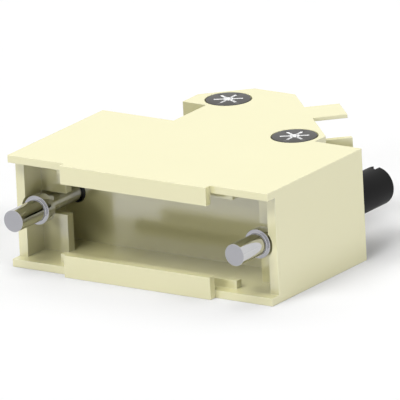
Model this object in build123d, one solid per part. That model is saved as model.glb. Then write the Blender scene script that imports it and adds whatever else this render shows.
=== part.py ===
from build123d import *
import os

# D-sub hood for a 15-way cable connector, with a cable exit at 45 degrees. Sizes are in millimetres.
# X runs along the mating face and Y from the mating face to the rear. Z is up from the underside.

# How far a cut runs past the face that it opens
overcut = 1.0

# Jackscrews' spacing, which sets the connector's size, and the housing's width beyond them
screw_spacing = 33.32
side_margin = 2.925

# Housing
hood_height = 14.65
box_depth = 21.38
plate = 1.0
wall = 1.3
wall_setback = 1.6

# Mating face: the connector's flange slides in between the lips and the ribs, which stop short of the screws
flange_slot = 1.55
lip_inset = 5.66
lip_depth = 1.04
lower_lip_rise = 2.88
upper_lip_rise = 2.45
rib_inset = 3.4
rib_depth = 1.08
rib_rise = 1.05

# Rear block that turns the cable to 45 degrees, measured from the centre line and from the box's rear face
block_left = 8.8
block_right = 12.5
block_length = 16.12
exit_corner = 2.57
wing_width = 3.6
wing_start = 7.42
wing_corner = 5.2

# Cable exit
exit_diameter = 8.8
tongue_width = 5.0
tongue_length = 4.5
tongue_thickness = 0.5
guard_thickness = 0.8
guard_drop = 2.3

# Inner wall that closes the connector's bay
inner_wall_front = 10.4
inner_wall = 0.9
wire_window_inset = 8.16
wire_window_width = 11.4
wire_window_height = 5.5

# Jackscrews
thread_diameter = 2.84
thread_reach = 3.6
tip_chamfer = 0.2
collar_diameter = 3.8
collar_length = 1.55
neck_diameter = 2.2
screw_float = 1.9
stop_gap = 0.3
cheek_reach = 2.09
cheek_depth = 1.26

# Split ring in the neck's groove, which runs in a tunnel behind the inner wall
ring_diameter = 2.8
ring_length = 0.9
ring_slit = 0.7
groove_depth = 0.15
groove_play = 0.05
running_gap = 0.07
tunnel_length = 3.7
tunnel_wall = 0.9

# Knobs
knob_diameter = 5.0
knob_length = 7.2
knob_chamfer = 0.12
hub_diameter = 3.3
hub_length = 4.7
slot_width = 0.9
slot_depth = 1.0
slot_floor = 2.0

# Assembly screws: the rear one from the block's rear face, and the side one from the box's rear face
rear_screw_x = -7.7
rear_screw_inset = 5.3
side_screw_x = 8.86
side_screw_y = 0.97
head_diameter = 5.75
head_rim = 0.3
shank_diameter = 3.0
screw_hole_gap = 0.2
head_gap = 0.15
pillar_diameter = 8.0
star_span = 3.6
star_arm_width = 0.5
star_hub_diameter = 1.3
star_depth = 1.2
star_turn = 33

# Hexagon nuts in the underside
nut_flats = 5.5
nut_height = 2.4
nut_gap = 0.1
nut_sink = 0.3

# Pegs that line the two halves up
peg_diameter = 1.4
peg_rise = 1.0
peg_gap = 0.08
peg_post_diameter = 2.6
peg_inset = 5.66

# Sizes and places worked out from those above
parting_height = hood_height / 2
screw_axis = screw_spacing / 2
hood_width = screw_spacing + 2 * side_margin
inner_half_width = hood_width / 2 - wall
block_rear = box_depth + block_length
exit_line = block_right + box_depth + exit_corner
screw_places = {
    "rear": (rear_screw_x, block_rear - rear_screw_inset),
    "side": (side_screw_x, box_depth + side_screw_y),
}
side_signs = {"left": -1, "right": 1}

collar_front = flange_slot
collar_back = collar_front + collar_length
cheek_front = collar_back + screw_float + stop_gap
ring_front = inner_wall_front
groove_front = ring_front - groove_play
groove_length = ring_length + 2 * groove_play
groove_radius = neck_diameter / 2 - groove_depth
tunnel_radius = ring_diameter / 2 + running_gap
tunnel_back = inner_wall_front + tunnel_length
hub_way_radius = hub_diameter / 2 + running_gap
knob_front = box_depth + stop_gap
knob_back = knob_front + knob_length
neck_back = knob_back - slot_depth - slot_floor

head_cone = (head_diameter - shank_diameter) / 2
nut_floor = nut_sink + nut_height

# Each half is divided just in front of the side screw's pillar, into the box and the rear block
division = screw_places["side"][1] - pillar_diameter / 2 - screw_hole_gap

# The cable leaves halfway between the two assembly screws
cable_line = sum(y - x for x, y in screw_places.values()) / 2
exit_centre = ((exit_line - cable_line) / 2, (exit_line + cable_line) / 2)
exit_place = Pos(exit_centre[0], exit_centre[1], 0) * Rot(0, 0, 45)


def block(x_range, y_range, z_range):
    """Rectangular block between the given limits."""
    spans = (x_range, y_range, z_range)
    sizes = [high - low for low, high in spans]
    middles = [(high + low) / 2 for low, high in spans]
    return Pos(*middles) * Box(*sizes)


def rod(diameter, y_range, sign):
    """Cylinder along Y on a jackscrew's axis."""
    low, high = y_range
    middle = Pos(sign * screw_axis, (low + high) / 2, parting_height)
    return middle * Rot(90, 0, 0) * Cylinder(diameter / 2, high - low)


def turned(profile, sign):
    """Solid of revolution on a jackscrew's axis, from a closed profile of (radius, Y) points."""
    face = make_face(Polyline(*profile, close=True))
    return Pos(sign * screw_axis, 0, parting_height) * revolve(face, Axis.Y)


def box_outline():
    """Plan of the box, from the mating face to its rear face."""
    return Pos(0, box_depth / 2) * Rectangle(hood_width, box_depth)


def block_outline():
    """Plan of the rear block: a wing round the rear screw and a slanted face for the cable exit."""
    overlap = box_depth - wall
    wing_left = -block_left - wing_width
    points = [
        (-block_left, overlap),
        (block_right, overlap),
        (block_right, exit_line - block_right),
        (exit_line - block_rear, block_rear),
        (wing_left + wing_corner, block_rear),
        (wing_left, block_rear - wing_corner),
        (wing_left, box_depth + wing_start),
        (-block_left, box_depth + wing_start),
    ]
    return make_face(Polyline(*points, close=True))


def hood_outline():
    """Plan of the whole housing."""
    return box_outline() + block_outline()


def hollow_outline():
    """Plan of the space inside, open at the mating face."""
    inside = offset(hood_outline(), amount=-wall, kind=Kind.INTERSECTION)
    mouth = Pos(0, wall) * Rectangle(2 * inner_half_width, 2 * wall + 2 * overcut)
    corners = Rectangle(hood_width + 2 * overcut, 2 * wall_setback)
    return inside + mouth + corners


def mating_lip(rise):
    """Lip in front of the connector's flange."""
    half = screw_axis - lip_inset
    return block((-half, half), (-lip_depth, 0), (0, rise))


def flange_rib():
    """Rib that the connector's flange seats on."""
    half = screw_axis - rib_inset
    return block((-half, half), (flange_slot, flange_slot + rib_depth), (0, plate + rib_rise))


def bay_wall():
    """Inner wall behind the connector."""
    y_range = (inner_wall_front, inner_wall_front + inner_wall)
    return block((-inner_half_width, inner_half_width), y_range, (0, parting_height))


def wire_window():
    """Opening over the inner wall that the wires pass through, on the side that the cable bends away from."""
    y_range = (inner_wall_front - overcut, inner_wall_front + inner_wall + overcut)
    left = wire_window_inset - screw_axis
    return block((left, left + wire_window_width), y_range, (plate, plate + wire_window_height))


def jackscrew_seat(sign):
    """Cheek behind the jackscrew's collar, and the block with the tunnel that its ring slides in."""
    outer = sign * inner_half_width
    cheek_x = sorted((outer, sign * (screw_axis - cheek_reach)))
    cheek_top = parting_height - neck_diameter / 2 - stop_gap
    cheek = block(cheek_x, (cheek_front, cheek_front + cheek_depth), (0, cheek_top))
    tunnel_side = sign * (screw_axis - tunnel_radius - tunnel_wall)
    tunnel = block(sorted((outer, tunnel_side)), (inner_wall_front, tunnel_back), (0, parting_height))
    return cheek + tunnel


def jackscrew_ways(sign):
    """Round ways cut for the collar, and for the ring and the knob's hub behind it."""
    collar_way = rod(collar_diameter + 2 * stop_gap, (0, cheek_front), sign)
    ring_way = rod(2 * tunnel_radius, (inner_wall_front - overcut, tunnel_back + overcut), sign)
    hub_way = rod(2 * hub_way_radius, (tunnel_back + overcut, box_depth + overcut), sign)
    return collar_way + ring_way + hub_way


def peg_post(sign):
    """Post behind the inner wall that carries a locating peg or its socket."""
    place = (sign * (screw_axis - peg_inset), inner_wall_front + inner_wall + peg_diameter / 2)
    return Pos(*place, parting_height / 2) * Cylinder(peg_post_diameter / 2, parting_height)


def peg(sign, diameter, rise):
    """Round peg that stands up from the parting face."""
    place = (sign * (screw_axis - peg_inset), inner_wall_front + inner_wall + peg_diameter / 2)
    return Pos(*place, parting_height) * Cylinder(diameter / 2, 2 * rise)


def screw_pillar(place):
    """Round pillar from the plate to the parting face, kept inside the housing's plan."""
    pillar = Pos(*place, parting_height / 2) * Cylinder(pillar_diameter / 2, parting_height)
    return pillar & extrude(hood_outline(), parting_height)


def screw_hole(place):
    """Clearance hole for an assembly screw's shank."""
    return Pos(*place, 0) * Cylinder(shank_diameter / 2 + screw_hole_gap, 2 * hood_height)


def exit_bore():
    """Round hole through the slanted face, half in each shell."""
    bore = Rot(0, 90, 0) * Cylinder(exit_diameter / 2, 2 * (wall + overcut))
    return exit_place * Pos(0, 0, parting_height) * bore


def exit_tongue():
    """Flat tongue under the cable, which is tied down to it."""
    half = tongue_width / 2
    return exit_place * block((-wall / 2, tongue_length), (-half, half), (0, tongue_thickness))


def half_shell(lip_rise):
    """What both halves share, drawn as the lower one with its plate on the underside."""
    shell = extrude(hood_outline(), parting_height)
    shell -= Pos(0, 0, plate) * extrude(hollow_outline(), hood_height)
    shell += mating_lip(lip_rise)
    shell += flange_rib()
    shell += bay_wall()
    for sign in side_signs.values():
        shell += jackscrew_seat(sign)
        shell += peg_post(sign)
    for place in screw_places.values():
        shell += screw_pillar(place)
        shell -= screw_hole(place)
    for sign in side_signs.values():
        shell -= jackscrew_ways(sign)
    shell -= exit_bore()
    shell += exit_tongue()
    return shell


def exit_guard():
    """Upright guard beside the cable, on the outer side of the bend."""
    inner = -exit_diameter / 2
    y_range = (inner - guard_thickness, inner)
    foot = block((-wall / 2, tongue_length), y_range, (0, parting_height))
    upright = block((0, tongue_length), y_range, (0, hood_height - guard_drop))
    return exit_place * (foot + upright)


def lower_shell():
    """Lower half, with the locating pegs, the nut pockets and the guard."""
    shell = half_shell(lower_lip_rise)
    for sign in side_signs.values():
        shell += peg(sign, peg_diameter, peg_rise)
    for place in screw_places.values():
        pocket = extrude(RegularPolygon(nut_flats / 2 + nut_gap, 6, major_radius=False), nut_floor)
        shell -= Pos(*place, 0) * pocket
    return shell + exit_guard()


def upper_shell():
    """Upper half, with the wire window, the peg sockets and the countersinks."""
    shell = half_shell(upper_lip_rise)
    shell -= wire_window()
    for sign in side_signs.values():
        shell -= peg(sign, peg_diameter + 2 * peg_gap, peg_rise + peg_gap)
    for place in screw_places.values():
        shell -= Pos(*place, 0) * head_form(head_gap)
    return mirror(shell, about=Plane.XY.offset(parting_height))


def divided(name, shell):
    """The two solids of a half, which are one moulding in the real hood."""
    front = block((-hood_width, hood_width), (-hood_width, division), (0, hood_height))
    return {name: shell & front, f"{name}_rear": shell - front}


def head_form(gap):
    """Countersunk head upside down, with its flat face at height zero, grown by a gap."""
    radius = head_diameter / 2 + gap
    points = [
        (0, 0),
        (radius, 0),
        (radius, head_rim),
        (radius - head_cone, head_rim + head_cone),
        (0, head_rim + head_cone),
    ]
    face = make_face(Plane.XZ * Polyline(*points, close=True))
    return revolve(face, Axis.Z)


def assembly_screw(place):
    """Flat-head screw with a six-pointed star recess."""
    tip = nut_sink
    shank = Pos(0, 0, (tip + hood_height) / 2) * Cylinder(shank_diameter / 2, hood_height - tip)
    head = mirror(head_form(0), about=Plane.XY.offset(parting_height))
    star = Circle(star_hub_diameter / 2)
    for turn in (0, 60, 120):
        star += Rot(0, 0, star_turn + turn) * SlotOverall(star_span, star_arm_width)
    recess = Pos(0, 0, hood_height - star_depth) * extrude(star, star_depth + overcut)
    return Pos(*place, 0) * (head + shank - recess)


def nut(place):
    """Hexagon nut, seated on the floor of its pocket."""
    form = extrude(RegularPolygon(nut_flats / 2, 6, major_radius=False), nut_height)
    bore = Cylinder(shank_diameter / 2, 2 * (nut_height + overcut))
    return Pos(*place, nut_sink) * (form - bore)


def jackscrew(sign):
    """Turned metal screw: threaded end, collar, and a thin neck with a groove for the ring."""
    thread = thread_diameter / 2
    collar = collar_diameter / 2
    neck = neck_diameter / 2
    groove_back = groove_front + groove_length
    profile = [
        (0, -thread_reach),
        (thread - tip_chamfer, -thread_reach),
        (thread, tip_chamfer - thread_reach),
        (thread, collar_front),
        (collar - tip_chamfer, collar_front),
        (collar, collar_front + tip_chamfer),
        (collar, collar_back - tip_chamfer),
        (collar - tip_chamfer, collar_back),
        (neck, collar_back),
        (neck, groove_front),
        (groove_radius, groove_front),
        (groove_radius, groove_back),
        (neck, groove_back),
        (neck, neck_back),
        (0, neck_back),
    ]
    return turned(profile, sign)


def knob(sign):
    """Moulded knob pressed on the neck, with a hub through the rear wall and a screwdriver slot."""
    neck = neck_diameter / 2
    hub = hub_diameter / 2
    outer = knob_diameter / 2
    profile = [
        (neck, knob_front - hub_length),
        (hub, knob_front - hub_length),
        (hub, knob_front),
        (outer - knob_chamfer, knob_front),
        (outer, knob_front + knob_chamfer),
        (outer, knob_back - knob_chamfer),
        (outer - knob_chamfer, knob_back),
        (0, knob_back),
        (0, neck_back),
        (neck, neck_back),
    ]
    x = sign * screw_axis
    slot_x = (x - slot_width / 2, x + slot_width / 2)
    slot = block(slot_x, (knob_back - slot_depth, knob_back + overcut), (0, hood_height))
    return turned(profile, sign) - slot


def neck_ring(sign):
    """Split ring that snaps into the neck's groove."""
    inner = groove_radius + running_gap
    ring_back = ring_front + ring_length
    profile = [
        (inner, ring_front),
        (ring_diameter / 2, ring_front),
        (ring_diameter / 2, ring_back),
        (inner, ring_back),
    ]
    x = sign * screw_axis
    slit_x = (x - ring_slit / 2, x + ring_slit / 2)
    slit = block(slit_x, (ring_front - overcut, ring_back + overcut), (0, parting_height))
    return turned(profile, sign) - slit


nodes = divided("lower_shell", lower_shell()) | divided("upper_shell", upper_shell())
for side, sign in side_signs.items():
    nodes[f"jackscrew_{side}"] = jackscrew(sign)
    nodes[f"knob_{side}"] = knob(sign)
    nodes[f"neck_ring_{side}"] = neck_ring(sign)
for name, place in screw_places.items():
    nodes[f"assembly_screw_{name}"] = assembly_screw(place)
    nodes[f"nut_{name}"] = nut(place)

os.makedirs("parts", exist_ok=True)
for name, solid in nodes.items():
    export_step(solid, f"parts/{name}.step")
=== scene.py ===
import math

import bmesh
import bpy
from mathutils import Matrix, Vector


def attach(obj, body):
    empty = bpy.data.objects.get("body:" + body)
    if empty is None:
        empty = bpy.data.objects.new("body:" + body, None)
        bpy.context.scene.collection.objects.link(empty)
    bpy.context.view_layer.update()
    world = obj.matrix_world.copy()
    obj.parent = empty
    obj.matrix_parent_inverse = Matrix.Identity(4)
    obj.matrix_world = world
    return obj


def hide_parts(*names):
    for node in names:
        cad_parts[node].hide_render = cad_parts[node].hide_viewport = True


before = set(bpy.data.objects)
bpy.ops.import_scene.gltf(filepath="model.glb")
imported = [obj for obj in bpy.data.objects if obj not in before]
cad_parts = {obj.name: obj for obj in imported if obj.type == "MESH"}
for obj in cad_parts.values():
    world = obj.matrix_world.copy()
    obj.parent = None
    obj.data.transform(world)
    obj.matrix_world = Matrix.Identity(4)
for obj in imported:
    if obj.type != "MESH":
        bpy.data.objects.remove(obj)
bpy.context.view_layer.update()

# Lengths below are in millimetres, unless a comment gives another unit, and angles are in degrees
MM = 0.001

# Camera, fitted to the photograph: its angles, the point that it looks at, and the view's width there
VIEW_AZIMUTH = 34.6
VIEW_ELEVATION = 17.0
VIEW_ROLL = 2.8
VIEW_TARGET = (-0.334, 14.123, 7.3)
VIEW_WIDTH = 50.2
LENS = 1600
SENSOR_WIDTH = 36
# Nearest and farthest distance that it sees, as shares of its distance from that point
CLIP_NEAR = 0.01
CLIP_FAR = 10

# Hood: the height where its halves meet, its top, the Y where each half's two solids meet, the distance
# of the jackscrews' axes from the middle, and the rounding of its outer edges
PARTING = 7.325
HOOD_TOP = 2 * PARTING
DIVISION = 18.15
SCREW_AXIS = 16.66
EDGE_ROUND = 0.1

# Points closer than this are one point
SEAM_CLEAR = 0.001

# Angle between two faces above which their edge may be rounded
CORNER_ANGLE = 40
# Angle above which their edge is drawn sharp
SHARP_ANGLE = 50
# Angle up to which they are joined as one face
FLAT_ANGLE = 0.5

# Steps of a full turn, and of the arc of a rounded corner
TURN_STEPS = 96
TURNED_CORNER_STEPS = 3
EDGE_STEPS = 2

# Jackscrew: its radii and its places along Y, from the tip to the end in the knob
TIP_END = -3.6
THREAD_RADIUS = 1.42
COLLAR_FRONT = 1.55
COLLAR_BACK = 3.1
COLLAR_RADIUS = 1.9
GROOVE_FRONT = 10.35
GROOVE_BACK = 11.35
GROOVE_RADIUS = 0.95
NECK_END = 25.88
NECK_RADIUS = 1.1
JACKSCREW_PROFILE = [
    (0, TIP_END),
    (THREAD_RADIUS, TIP_END),
    (THREAD_RADIUS, COLLAR_FRONT),
    (COLLAR_RADIUS, COLLAR_FRONT),
    (COLLAR_RADIUS, COLLAR_BACK),
    (NECK_RADIUS, COLLAR_BACK),
    (NECK_RADIUS, GROOVE_FRONT),
    (GROOVE_RADIUS, GROOVE_FRONT),
    (GROOVE_RADIUS, GROOVE_BACK),
    (NECK_RADIUS, GROOVE_BACK),
    (NECK_RADIUS, NECK_END),
    (0, NECK_END),
]
JACKSCREW_ROUND = 0.07
JACKSCREW_ROUNDED = slice(1, 5)

# Knob, from the neck's end along its bore and its hub to its own end, and the slot across that end
HUB_FRONT = 16.98
HUB_RADIUS = 1.65
KNOB_FRONT = 21.68
KNOB_BACK = 28.88
KNOB_RADIUS = 2.5
KNOB_PROFILE = [
    (0, NECK_END),
    (NECK_RADIUS, NECK_END),
    (NECK_RADIUS, HUB_FRONT),
    (HUB_RADIUS, HUB_FRONT),
    (HUB_RADIUS, KNOB_FRONT),
    (KNOB_RADIUS, KNOB_FRONT),
    (KNOB_RADIUS, KNOB_BACK),
    (0, KNOB_BACK),
]
KNOB_ROUND = 0.12
KNOB_ROUNDED = slice(3, 7)
KNOB_SLOT_WIDTH = 0.9
KNOB_SLOT_DEPTH = 1.0

# Ring in the neck's groove
RING_INNER = 1.02
RING_OUTER = 1.4
RING_FRONT = 10.4
RING_LENGTH = 0.9
RING_SLIT = 0.7
RING_ROUND = 0.05

# Assembly screw, from its end up to its countersunk head, and where the two screws stand
SHANK_END = 0.3
SHANK_RADIUS = 1.5
HEAD_RADIUS = 2.875
HEAD_RIM = 0.3
HEAD_LOW = HOOD_TOP - HEAD_RIM
ASSEMBLY_SCREW_PROFILE = [
    (0, SHANK_END),
    (SHANK_RADIUS, SHANK_END),
    (SHANK_RADIUS, HEAD_LOW - (HEAD_RADIUS - SHANK_RADIUS)),
    (HEAD_RADIUS, HEAD_LOW),
    (HEAD_RADIUS, HOOD_TOP),
    (0, HOOD_TOP),
]
HEAD_ROUND = 0.05
HEAD_ROUNDED = slice(4, 5)
ASSEMBLY_SCREWS = {"rear": (-7.7, 32.2), "side": (8.86, 22.35)}

# Six-rayed recess: three bars and a round middle, with their sizes at the top and at the floor
STAR_DEPTH = 0.8
STAR_SPANS = (3.7, 1.6)
STAR_BAR_WIDTHS = (0.36, 0.1)
STAR_MIDDLES = (1.35, 0.2)
STAR_TURNS = (33, 93, 153)

# Faces down to this depth under the head's top are looked at for the recess
STAR_SEARCH = 1.1 * STAR_DEPTH

# Soft lamps round the object: (name, azimuth, elevation, the angle that it fills, strength)
LAMPS = [
    ("overhead_lamp", 0, 84, 35, 0.67),
    ("top_front_lamp", 0, 53, 26, 1.22),
    ("top_left_lamp", -30, 52, 15, 0.57),
    ("back_lamp", 180, 52, 35, 0.41),
    ("back_left_lamp", -120, 52, 35, 0.45),
    ("right_lamp", 90, 40, 20, 0.82),
    ("low_right_lamp", 90, 8, 25, 0.45),
    ("low_front_lamp", -14, 18, 12, 0.43),
]

# Floor: half its side in metres, its gap under the object, and the glow that helps it to look white
FLOOR_REACH = 4
FLOOR_DROP = 0.02
FLOOR_GLOW = 0.03


# Shapes


def new_piece(name, bm, body, slot, *nodes):
    """Makes a bmesh a piece that stands for its nodes and moves with its body."""
    mesh = bpy.data.meshes.new(name)
    bm.to_mesh(mesh)
    bm.free()
    if "custom_normal" in mesh.attributes:
        mesh.attributes.remove(mesh.attributes["custom_normal"])
    mesh.polygons.foreach_set("use_smooth", [True] * len(mesh.polygons))
    mesh.set_sharp_from_angle(angle=math.radians(SHARP_ANGLE))
    piece = bpy.data.objects.new(name, mesh)
    bpy.context.scene.collection.objects.link(piece)
    flatten = piece.modifiers.new("flat faces stay flat", "WEIGHTED_NORMAL")
    flatten.keep_sharp = True
    flatten.weight = 100
    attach(piece, body)
    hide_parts(*nodes)
    return piece


def round_edges(bm, edges, radius):
    """Rounds the given edges."""
    bmesh.ops.bevel(bm, geom=edges, offset=radius * MM, offset_type="OFFSET", affect="EDGES",
                    segments=EDGE_STEPS, profile=0.5, material=-1, clamp_overlap=True)


def is_corner(edge):
    """True if two faces meet at an edge at a clear angle."""
    return edge.calc_face_angle() > math.radians(CORNER_ANGLE)


def join_flat_faces(bm):
    """Joins the faces that lie in one plane."""
    bmesh.ops.dissolve_limit(bm, angle_limit=math.radians(FLAT_ANGLE), verts=bm.verts, edges=bm.edges)


def at_place(edge, axis, value):
    """True if both ends of an edge lie at the given place along an axis."""
    return all(abs(v.co[axis] - value * MM) < SEAM_CLEAR * MM for v in edge.verts)


def moulded_half(name, *nodes):
    """One half of the hood as a single skin, its outward edges slightly rounded except at the parting."""
    along_y, along_z = 1, 2
    bm = bmesh.new()
    for cad_node in nodes:
        bm.from_mesh(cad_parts[cad_node].data)
    joint = [f for f in bm.faces if all(at_place(e, along_y, DIVISION) for e in f.edges)]
    bmesh.ops.delete(bm, geom=joint, context="FACES")
    bmesh.ops.remove_doubles(bm, verts=bm.verts, dist=SEAM_CLEAR * MM)
    join_flat_faces(bm)
    outer = [e for e in bm.edges
             if e.is_manifold and e.is_convex and is_corner(e) and not at_place(e, along_z, PARTING)]
    round_edges(bm, outer, EDGE_ROUND)
    return new_piece(name, bm, "hood", "cream_plastic", *nodes)


def turned(profile, radius, corners):
    """A form turned about the Z axis, with some of its profile's corners rounded."""
    bm = bmesh.new()
    verts = [bm.verts.new((r * MM, 0, along * MM)) for r, along in profile]
    for pair in zip(verts, verts[1:]):
        bm.edges.new(pair)
    bmesh.ops.bevel(bm, geom=verts[corners], offset=radius * MM, offset_type="OFFSET", affect="VERTICES",
                    segments=TURNED_CORNER_STEPS, profile=0.5, material=-1, clamp_overlap=True)
    bmesh.ops.spin(bm, geom=bm.verts[:] + bm.edges[:], axis=(0, 0, 1), cent=(0, 0, 0), angle=2 * math.pi,
                   steps=TURN_STEPS, use_merge=True)
    bmesh.ops.remove_doubles(bm, verts=bm.verts, dist=SEAM_CLEAR * MM)
    bmesh.ops.recalc_face_normals(bm, faces=bm.faces)
    return bm


def laid_on_screw_axis(bm, side):
    """Lays a form that was turned about Z on the axis of the left or the right jackscrew."""
    bmesh.ops.rotate(bm, verts=bm.verts, cent=(0, 0, 0), matrix=Matrix.Rotation(-math.pi / 2, 3, "X"))
    bmesh.ops.translate(bm, verts=bm.verts, vec=(side * SCREW_AXIS * MM, 0, PARTING * MM))
    return bm


def carved(bm, cutter):
    """Cuts one closed form out of another and gives the result. Both forms are used up."""
    objects = []
    for part, name in ((bm, "form"), (cutter, "cutter")):
        mesh = bpy.data.meshes.new(name)
        part.to_mesh(mesh)
        part.free()
        objects.append(bpy.data.objects.new(name, mesh))
        bpy.context.scene.collection.objects.link(objects[-1])
    form, blade = objects
    cut = form.modifiers.new("cut", "BOOLEAN")
    cut.operation = "DIFFERENCE"
    cut.solver = "EXACT"
    cut.object = blade
    result = bmesh.new()
    result.from_object(form, bpy.context.evaluated_depsgraph_get())
    for thing in objects:
        bpy.data.objects.remove(thing)
    bmesh.ops.dissolve_degenerate(result, dist=SEAM_CLEAR * MM, edges=result.edges)
    return result


def knob_form(side):
    """Knob with its hub and the screwdriver slot across its end."""
    knob = laid_on_screw_axis(turned(KNOB_PROFILE, KNOB_ROUND, KNOB_ROUNDED), side)
    blade = bmesh.new()
    bmesh.ops.create_cube(blade, size=1)
    blade_size = (KNOB_SLOT_WIDTH * MM, 2 * KNOB_SLOT_DEPTH * MM, HOOD_TOP * MM)
    bmesh.ops.scale(blade, verts=blade.verts, vec=blade_size)
    slot_middle = (side * SCREW_AXIS * MM, KNOB_BACK * MM, PARTING * MM)
    bmesh.ops.translate(blade, verts=blade.verts, vec=slot_middle)
    cut = carved(knob, blade)
    join_flat_faces(cut)
    return cut


def star_bar(turn):
    """Closed form that cuts one bar of the star recess, and widens on above the head."""
    bm = bmesh.new()
    bmesh.ops.create_cube(bm, size=1)
    for vert in bm.verts:
        for axis, (top, floor) in enumerate((STAR_SPANS, STAR_BAR_WIDTHS)):
            upper_end = 2 * top - floor
            vert.co[axis] *= (upper_end if vert.co.z > 0 else floor) * MM
        vert.co.z *= 2 * STAR_DEPTH * MM
    bmesh.ops.rotate(bm, verts=bm.verts, cent=(0, 0, 0), matrix=Matrix.Rotation(math.radians(turn), 3, "Z"))
    return bm


def star_middle():
    """Closed form that cuts the round middle of the star recess, and widens on above the head."""
    bm = bmesh.new()
    top, floor = STAR_MIDDLES
    bmesh.ops.create_cone(bm, cap_ends=True, segments=TURN_STEPS, radius1=floor / 2 * MM,
                          radius2=(top - floor / 2) * MM, depth=2 * STAR_DEPTH * MM)
    return bm


def in_star(face):
    """True if a face of an assembly screw that stands at the origin lies in its recess."""
    middle = face.calc_center_median()
    depth = HOOD_TOP * MM - middle.z
    return SEAM_CLEAR * MM < depth < STAR_SEARCH * MM and middle.xy.length < STAR_SPANS[0] / 2 * MM


def assembly_screw(place):
    """Countersunk screw with the star recess. The recess takes the second material."""
    bm = turned(ASSEMBLY_SCREW_PROFILE, HEAD_ROUND, HEAD_ROUNDED)
    for cutter in [star_bar(turn) for turn in STAR_TURNS] + [star_middle()]:
        bmesh.ops.translate(cutter, verts=cutter.verts, vec=(0, 0, HOOD_TOP * MM))
        bm = carved(bm, cutter)
    for face in bm.faces:
        face.material_index = 1 if in_star(face) else 0
    bmesh.ops.translate(bm, verts=bm.verts, vec=(place[0] * MM, place[1] * MM, 0))
    return bm


def neck_ring(side):
    """Split ring, spun from its section and left open underneath."""
    gap = math.asin(RING_SLIT / 2 / RING_OUTER)
    bm = bmesh.new()
    corners = [(RING_INNER, 0), (RING_OUTER, 0), (RING_OUTER, RING_LENGTH), (RING_INNER, RING_LENGTH)]
    verts = [bm.verts.new((r * MM, (RING_FRONT + y) * MM, 0)) for r, y in corners]
    section = bm.faces.new(verts)
    bmesh.ops.spin(bm, geom=verts + section.edges[:] + [section], axis=(0, 1, 0), cent=(0, 0, 0),
                   angle=2 * math.pi - 2 * gap, steps=TURN_STEPS)
    turn = Matrix.Rotation(math.pi / 2 - gap, 3, "Y")
    bmesh.ops.rotate(bm, verts=bm.verts, cent=(0, 0, 0), matrix=turn)
    bmesh.ops.recalc_face_normals(bm, faces=bm.faces)
    round_edges(bm, [e for e in bm.edges if is_corner(e)], RING_ROUND)
    bmesh.ops.translate(bm, verts=bm.verts, vec=(side * SCREW_AXIS * MM, 0, PARTING * MM))
    return bm


lower_half = moulded_half("lower_half", "lower_shell", "lower_shell_rear")
upper_half = moulded_half("upper_half", "upper_shell", "upper_shell_rear")
jackscrews = []
knobs = []
rings = []
for word, side in (("left", -1), ("right", 1)):
    screw = laid_on_screw_axis(turned(JACKSCREW_PROFILE, JACKSCREW_ROUND, JACKSCREW_ROUNDED), side)
    body = f"{word}_screw"
    jackscrews.append(new_piece(f"turned_screw_{word}", screw, body, "bright_steel", f"jackscrew_{word}"))
    knob = knob_form(side)
    knobs.append(new_piece(f"moulded_knob_{word}", knob, body, "black_plastic", f"knob_{word}"))
    ring = neck_ring(side)
    rings.append(new_piece(f"snap_ring_{word}", ring, f"{word}_ring", "black_nylon", f"neck_ring_{word}"))
assembly_screws = []
for word, place in ASSEMBLY_SCREWS.items():
    screw = assembly_screw(place)
    piece = new_piece(f"sunk_screw_{word}", screw, "hood", "dark_steel", f"assembly_screw_{word}")
    assembly_screws.append(piece)


# Materials

# Colours. A surface runs from one to the other of a pair, with its mottle or the spangle of its zinc
CREAM = ((0.855, 0.812, 0.43), (0.885, 0.838, 0.46))
# Painted highlight on the cream plastic's rounded edges
CREAM_EDGE_HIGHLIGHT = (0.92, 0.89, 0.6)
CREAM_IN_SPREAD_LIGHT = (0.26, 0.25, 0.17)
STEEL = ((0.52, 0.52, 0.53), (0.60, 0.60, 0.60))
# Painted shade: a darker colour for the steel's end faces, standing in for the darker surroundings that they
# reflect
STEEL_END_SHADED = (0.40, 0.40, 0.425)
BLACK = ((0.007, 0.007, 0.007), (0.011, 0.011, 0.011))
# Painted highlight on the knobs' rounded edges
BLACK_EDGE_HIGHLIGHT = (0.03, 0.03, 0.03)
NYLON = ((0.006, 0.006, 0.007), (0.012, 0.012, 0.013))
BLACKENED = ((0.028, 0.026, 0.024), (0.04, 0.037, 0.033))
# Painted reflection: near-white colour in the star recess, standing in for the bright light its walls
# reflect
RECESS_PAINTED_LIGHT = ((0.85, 0.85, 0.85), (1.0, 1.0, 1.0))
ZINC = ((0.58, 0.59, 0.60), (0.72, 0.72, 0.71))
FLOOR_WHITE = (0.88, 0.88, 0.88)
FLOOR_IN_SPREAD_LIGHT = (0.65, 0.65, 0.65)

# How far from the parting an edge of the cream plastic gets no painted highlight
PARTING_REACH = 0.4
# Share of a face's normal along Y above which it is an end face
END_FACE_NORMAL = 0.9

# Sockets of the mix node for colours, which share their labels with those for other data
MIX_MASK = 0
MIX_LOW = 6
MIX_HIGH = 7
MIX_RESULT = 2


def feed(tree, made, sockets):
    """Sets or links a node's sockets, named by their place or their label."""
    for key, value in sockets.items():
        if isinstance(value, bpy.types.NodeSocket):
            tree.links.new(value, made.inputs[key])
        else:
            made.inputs[key].default_value = value
    return made


def node(tree, kind, sockets=None, **settings):
    """Adds a shader node with its properties and its sockets."""
    made = tree.nodes.new(kind)
    for key, value in settings.items():
        setattr(made, key, value)
    return feed(tree, made, sockets or {})


def maths(tree, operation, *values):
    """The value that a math node works out from the given values."""
    return node(tree, "ShaderNodeMath", dict(enumerate(values)), operation=operation).outputs["Value"]


def noise(tree, place, scale, detail):
    """A noise's value at a place."""
    sockets = {"Vector": place, "Scale": scale, "Detail": detail}
    return node(tree, "ShaderNodeTexNoise", sockets).outputs["Fac"]


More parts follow.
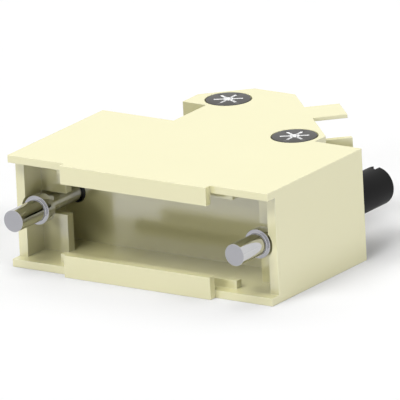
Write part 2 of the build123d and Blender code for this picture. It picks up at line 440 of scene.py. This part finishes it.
def new_group(name, inputs, outputs):
    """A shader node group with float inputs and the given outputs."""
    group = bpy.data.node_groups.new(name, "ShaderNodeTree")
    for label, value in inputs.items():
        socket = group.interface.new_socket(label, in_out="INPUT", socket_type="NodeSocketFloat")
        socket.default_value = value
    for label in outputs:
        group.interface.new_socket(label, in_out="OUTPUT", socket_type="NodeSocketFloat")
    return group, node(group, "NodeGroupInput").outputs, node(group, "NodeGroupOutput")


def grain_group():
    """Grain of a surface: a fine height, and a slow mottle of its colour and gloss."""
    inputs = {"Grain Scale": 4000, "Mottle Scale": 120}
    group, given, result = new_group("surface_grain", inputs, ["Height", "Mottle"])
    place = node(group, "ShaderNodeTexCoord").outputs["Object"]
    fine = noise(group, place, given["Grain Scale"], 3.0)
    slow = noise(group, place, given["Mottle Scale"], 4.0)
    feed(group, result, {"Height": fine, "Mottle": slow})
    return group


def edge_highlight_group():
    """Mask of rounded edges, broken up by noise, where a painted highlight makes them paler."""
    group, given, result = new_group("painted_edge_highlight", {"Reach": 0.2 * MM, "Break Up": 600}, ["Mask"])
    rounded = node(group, "ShaderNodeBevel", {"Radius": given["Reach"]}, samples=6).outputs["Normal"]
    flat = node(group, "ShaderNodeNewGeometry").outputs["Normal"]
    normals = {0: rounded, 1: flat}
    dot = node(group, "ShaderNodeVectorMath", normals, operation="DOT_PRODUCT").outputs["Value"]
    bend_range = {"Value": dot, "From Min": 1.0, "From Max": 0.8, "To Min": 0.0, "To Max": 1.0}
    bent = node(group, "ShaderNodeMapRange", bend_range).outputs["Result"]
    place = node(group, "ShaderNodeTexCoord").outputs["Object"]
    patches = noise(group, place, given["Break Up"], 2.0)
    feed(group, result, {"Mask": maths(group, "MULTIPLY", bent, patches)})
    return group


def lathe_group():
    """Fine rings left by turning, along the Y axis."""
    group, given, result = new_group("lathe_rings", {"Ring Scale": 9000}, ["Height"])
    place = node(group, "ShaderNodeTexCoord").outputs["Object"]
    stretch = {0: place, 1: (0.02, 1, 0.02)}
    along = node(group, "ShaderNodeVectorMath", stretch, operation="MULTIPLY").outputs["Vector"]
    feed(group, result, {"Height": noise(group, along, given["Ring Scale"], 2.0)})
    return group


GRAIN = grain_group()
EDGES = edge_highlight_group()
LATHE = lathe_group()


def use(tree, group, **values):
    """Places a node group in a material with its own values."""
    made = node(tree, "ShaderNodeGroup", node_tree=group)
    return feed(tree, made, {key.replace("_", " "): value for key, value in values.items()}).outputs


def new_material(name):
    """A new material, its nodes and its Principled shader."""
    material = bpy.data.materials.new(name)
    material.use_nodes = True
    tree = material.node_tree
    return material, tree, tree.nodes["Principled BSDF"]


def between(tree, mask, low, high):
    """A value that runs from low to high with a mask."""
    return node(tree, "ShaderNodeMapRange", {"Value": mask, "To Min": low, "To Max": high}).outputs["Result"]


def colour_mix(tree, mask, low, high):
    """A colour that runs from low to high with a mask. Each end is a colour or another node's output."""
    sockets = {MIX_MASK: mask}
    for place, value in ((MIX_LOW, low), (MIX_HIGH, high)):
        sockets[place] = value if isinstance(value, bpy.types.NodeSocket) else (*value, 1)
    return node(tree, "ShaderNodeMix", sockets, data_type="RGBA").outputs[MIX_RESULT]


def bumped(tree, height, strength, distance):
    """A normal that follows a height, up to the given distance."""
    sockets = {"Height": height, "Strength": strength, "Distance": distance * MM}
    return node(tree, "ShaderNodeBump", sockets).outputs["Normal"]


def cream_plastic():
    """Moulded cream plastic: glossy, with a faint unevenness, and a painted highlight that makes its edges
    slightly paler.
    """
    material, tree, shader = new_material("cream_plastic_moulded")
    grain = use(tree, GRAIN, Grain_Scale=6000, Mottle_Scale=90)
    edges = use(tree, EDGES, Reach=0.25 * MM, Break_Up=500)
    mottled = colour_mix(tree, grain["Mottle"], *CREAM)
    # The halves meet edge to edge, so the painted highlight leaves out the edges along the parting
    place = node(tree, "ShaderNodeTexCoord").outputs["Object"]
    height = node(tree, "ShaderNodeSeparateXYZ", {"Vector": place}).outputs["Z"]
    at_parting = maths(tree, "COMPARE", height, PARTING * MM, PARTING_REACH * MM)
    off_parting = maths(tree, "SUBTRACT", 1.0, at_parting)
    highlit_edges = maths(tree, "MULTIPLY", edges["Mask"], off_parting)
    # Painted highlight: the rounded edges are made paler, as if they caught the light
    paler = colour_mix(tree, highlit_edges, mottled, CREAM_EDGE_HIGHLIGHT)
    # Light from other surfaces finds a darker plastic, so the hollows stay dark, as in the photograph
    spread_light = node(tree, "ShaderNodeLightPath").outputs["Is Diffuse Ray"]
    feed(tree, shader, {
        "Base Color": colour_mix(tree, spread_light, paler, CREAM_IN_SPREAD_LIGHT),
        "Roughness": between(tree, grain["Mottle"], 0.12, 0.18),
        "IOR": 2.8,
        "Normal": bumped(tree, grain["Height"], 0.03, 0.01),
    })
    return material


def bright_steel():
    """Turned and plated steel, with faint rings, and end faces painted darker to stand in for the darker
    surroundings that they reflect.
    """
    material, tree, shader = new_material("bright_steel_turned")
    lathe = use(tree, LATHE, Ring_Scale=7000)
    grain = use(tree, GRAIN, Grain_Scale=5000, Mottle_Scale=400)
    tinted = colour_mix(tree, grain["Mottle"], *STEEL)
    # Painted shade: faces across the axis get a darker colour, standing in for the darker surroundings that
    # they reflect
    facing = node(tree, "ShaderNodeTexCoord").outputs["Normal"]
    facing_y = node(tree, "ShaderNodeSeparateXYZ", {"Vector": facing}).outputs["Y"]
    shaded_end_face = maths(tree, "GREATER_THAN", maths(tree, "ABSOLUTE", facing_y), END_FACE_NORMAL)
    feed(tree, shader, {
        "Base Color": colour_mix(tree, shaded_end_face, tinted, STEEL_END_SHADED),
        "Metallic": 1.0,
        "Roughness": between(tree, lathe["Height"], 0.03, 0.1),
        "Normal": bumped(tree, lathe["Height"], 0.1, 0.01),
    })
    return material


def black_plastic():
    """Black moulded plastic of the knobs, with a painted highlight that makes its edges paler."""
    material, tree, shader = new_material("black_plastic_moulded")
    grain = use(tree, GRAIN, Grain_Scale=5000, Mottle_Scale=300)
    edges = use(tree, EDGES, Reach=0.2 * MM, Break_Up=900)
    mottled = colour_mix(tree, grain["Mottle"], *BLACK)
    # Painted highlight: the knob's rounded edges are made paler, as if they caught the light
    feed(tree, shader, {
        "Base Color": colour_mix(tree, edges["Mask"], mottled, BLACK_EDGE_HIGHLIGHT),
        "Roughness": between(tree, grain["Mottle"], 0.40, 0.52),
        "Specular IOR Level": 0.08,
        "Normal": bumped(tree, grain["Height"], 0.15, 0.02),
    })
    return material


def black_nylon():
    """Black nylon of the split rings."""
    material, tree, shader = new_material("black_nylon_ring")
    grain = use(tree, GRAIN, Grain_Scale=7000, Mottle_Scale=900)
    feed(tree, shader, {
        "Base Color": colour_mix(tree, grain["Mottle"], *NYLON),
        "Roughness": between(tree, grain["Mottle"], 0.35, 0.5),
        "Normal": bumped(tree, grain["Height"], 0.1, 0.01),
    })
    return material


def dark_steel():
    """Blackened steel of the assembly screws."""
    material, tree, shader = new_material("dark_steel_heads")
    grain = use(tree, GRAIN, Grain_Scale=5000, Mottle_Scale=700)
    feed(tree, shader, {
        "Base Color": colour_mix(tree, grain["Mottle"], *BLACKENED),
        "Roughness": between(tree, grain["Mottle"], 0.38, 0.5),
        "Normal": bumped(tree, grain["Height"], 0.1, 0.01),
    })
    return material


def recess_painted_bright():
    """Star recess coloured near white, a painted reflection that stands in for the bright light its walls
    reflect.
    """
    material, tree, shader = new_material("recess_painted_light")
    grain = use(tree, GRAIN, Grain_Scale=9000, Mottle_Scale=2500)
    feed(tree, shader, {
        "Base Color": colour_mix(tree, grain["Mottle"], *RECESS_PAINTED_LIGHT),
        "Roughness": between(tree, grain["Mottle"], 0.3, 0.5),
        "Normal": bumped(tree, grain["Height"], 0.1, 0.01),
    })
    return material


def zinc_steel():
    """Zinc-plated nuts, with a faint spangle."""
    material, tree, shader = new_material("zinc_plated_nuts")
    place = node(tree, "ShaderNodeTexCoord").outputs["Object"]
    cells = node(tree, "ShaderNodeTexVoronoi", {"Vector": place, "Scale": 1800.0}).outputs["Distance"]
    grain = use(tree, GRAIN, Grain_Scale=5000, Mottle_Scale=700)
    feed(tree, shader, {
        "Base Color": colour_mix(tree, cells, *ZINC),
        "Metallic": 1.0,
        "Roughness": between(tree, cells, 0.28, 0.42),
        "Normal": bumped(tree, grain["Height"], 0.1, 0.01),
    })
    return material


def dress(pieces, *materials):
    """Gives pieces their materials."""
    for piece in pieces:
        for material in materials:
            piece.data.materials.append(material)


dress((lower_half, upper_half), cream_plastic())
dress(jackscrews, bright_steel())
dress(knobs, black_plastic())
dress(rings, black_nylon())
dress(assembly_screws, dark_steel(), recess_painted_bright())
plating = zinc_steel()
for word in ASSEMBLY_SCREWS:
    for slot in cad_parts[f"nut_{word}"].material_slots:
        slot.material = plating


# Camera, floor and light


def towards(azimuth, elevation):
    """Direction in which the camera or a lamp stands, seen from the object."""
    a, e = math.radians(azimuth), math.radians(elevation)
    return Vector((math.sin(a) * math.cos(e), -math.cos(a) * math.cos(e), math.sin(e)))


def set_camera():
    """Long-lens camera at the photograph's angle and roll."""
    azimuth, roll = math.radians(VIEW_AZIMUTH), math.radians(VIEW_ROLL)
    back = towards(VIEW_AZIMUTH, VIEW_ELEVATION)
    level = Vector((math.cos(azimuth), math.sin(azimuth), 0))
    upright = back.cross(level)
    right = level * math.cos(roll) - upright * math.sin(roll)
    up = upright * math.cos(roll) + level * math.sin(roll)
    data = bpy.data.cameras.new("camera")
    data.lens = LENS
    data.sensor_width = SENSOR_WIDTH
    distance = VIEW_WIDTH * MM * LENS / SENSOR_WIDTH
    data.clip_start = distance * CLIP_NEAR
    data.clip_end = distance * CLIP_FAR
    camera = bpy.data.objects.new("camera", data)
    place = Vector(VIEW_TARGET) * MM + back * distance
    camera.matrix_world = Matrix.Translation(place) @ Matrix((right, up, back)).transposed().to_4x4()
    bpy.context.scene.collection.objects.link(camera)
    bpy.context.scene.camera = camera


def seen_or_mirrored(tree):
    """One for what the camera, a reflection or glass sees, and nought for light that spreads."""
    path = node(tree, "ShaderNodeLightPath").outputs
    shiny = maths(tree, "MAXIMUM", path["Is Glossy Ray"], path["Is Transmission Ray"])
    return maths(tree, "MAXIMUM", path["Is Camera Ray"], shiny)


def set_world():
    """White surroundings to the eye and in reflections. All other light comes from the lamps."""
    world = bpy.data.worlds.new("studio")
    world.use_nodes = True
    tree = world.node_tree
    feed(tree, tree.nodes["Background"], {"Color": (1, 1, 1, 1), "Strength": seen_or_mirrored(tree)})
    bpy.context.scene.world = world


def set_floor():
    """Pale floor that looks white and keeps the object's shadow."""
    bm = bmesh.new()
    bmesh.ops.create_grid(bm, x_segments=1, y_segments=1, size=FLOOR_REACH)
    bmesh.ops.translate(bm, verts=bm.verts, vec=(0, 0, -FLOOR_DROP * MM))
    mesh = bpy.data.meshes.new("floor")
    bm.to_mesh(mesh)
    bm.free()
    floor = bpy.data.objects.new("floor", mesh)
    bpy.context.scene.collection.objects.link(floor)
    material, tree, shader = new_material("pale_floor")
    spread_light = node(tree, "ShaderNodeLightPath").outputs["Is Diffuse Ray"]
    feed(tree, shader, {
        "Base Color": colour_mix(tree, spread_light, FLOOR_WHITE, FLOOR_IN_SPREAD_LIGHT),
        "Roughness": 1.0,
        "Specular IOR Level": 0.0,
        "Emission Color": (1, 1, 1, 1),
        "Emission Strength": between(tree, seen_or_mirrored(tree), 0.0, FLOOR_GLOW),
    })
    mesh.materials.append(material)


def set_sun(name, azimuth, elevation, spread, strength):
    """A distant soft lamp, placed by the angles that it shines from. It doesn't show in reflections."""
    data = bpy.data.lights.new(name, "SUN")
    data.energy = strength
    data.angle = math.radians(spread)
    lamp = bpy.data.objects.new(name, data)
    lamp.rotation_mode = "QUATERNION"
    lamp.rotation_quaternion = towards(azimuth, elevation).to_track_quat("Z", "Y")
    lamp.visible_glossy = False
    bpy.context.scene.collection.objects.link(lamp)


set_camera()
set_world()
set_floor()
for lamp in LAMPS:
    set_sun(*lamp)

bpy.context.scene.view_settings.view_transform = "Standard"
bpy.context.view_layer.update()
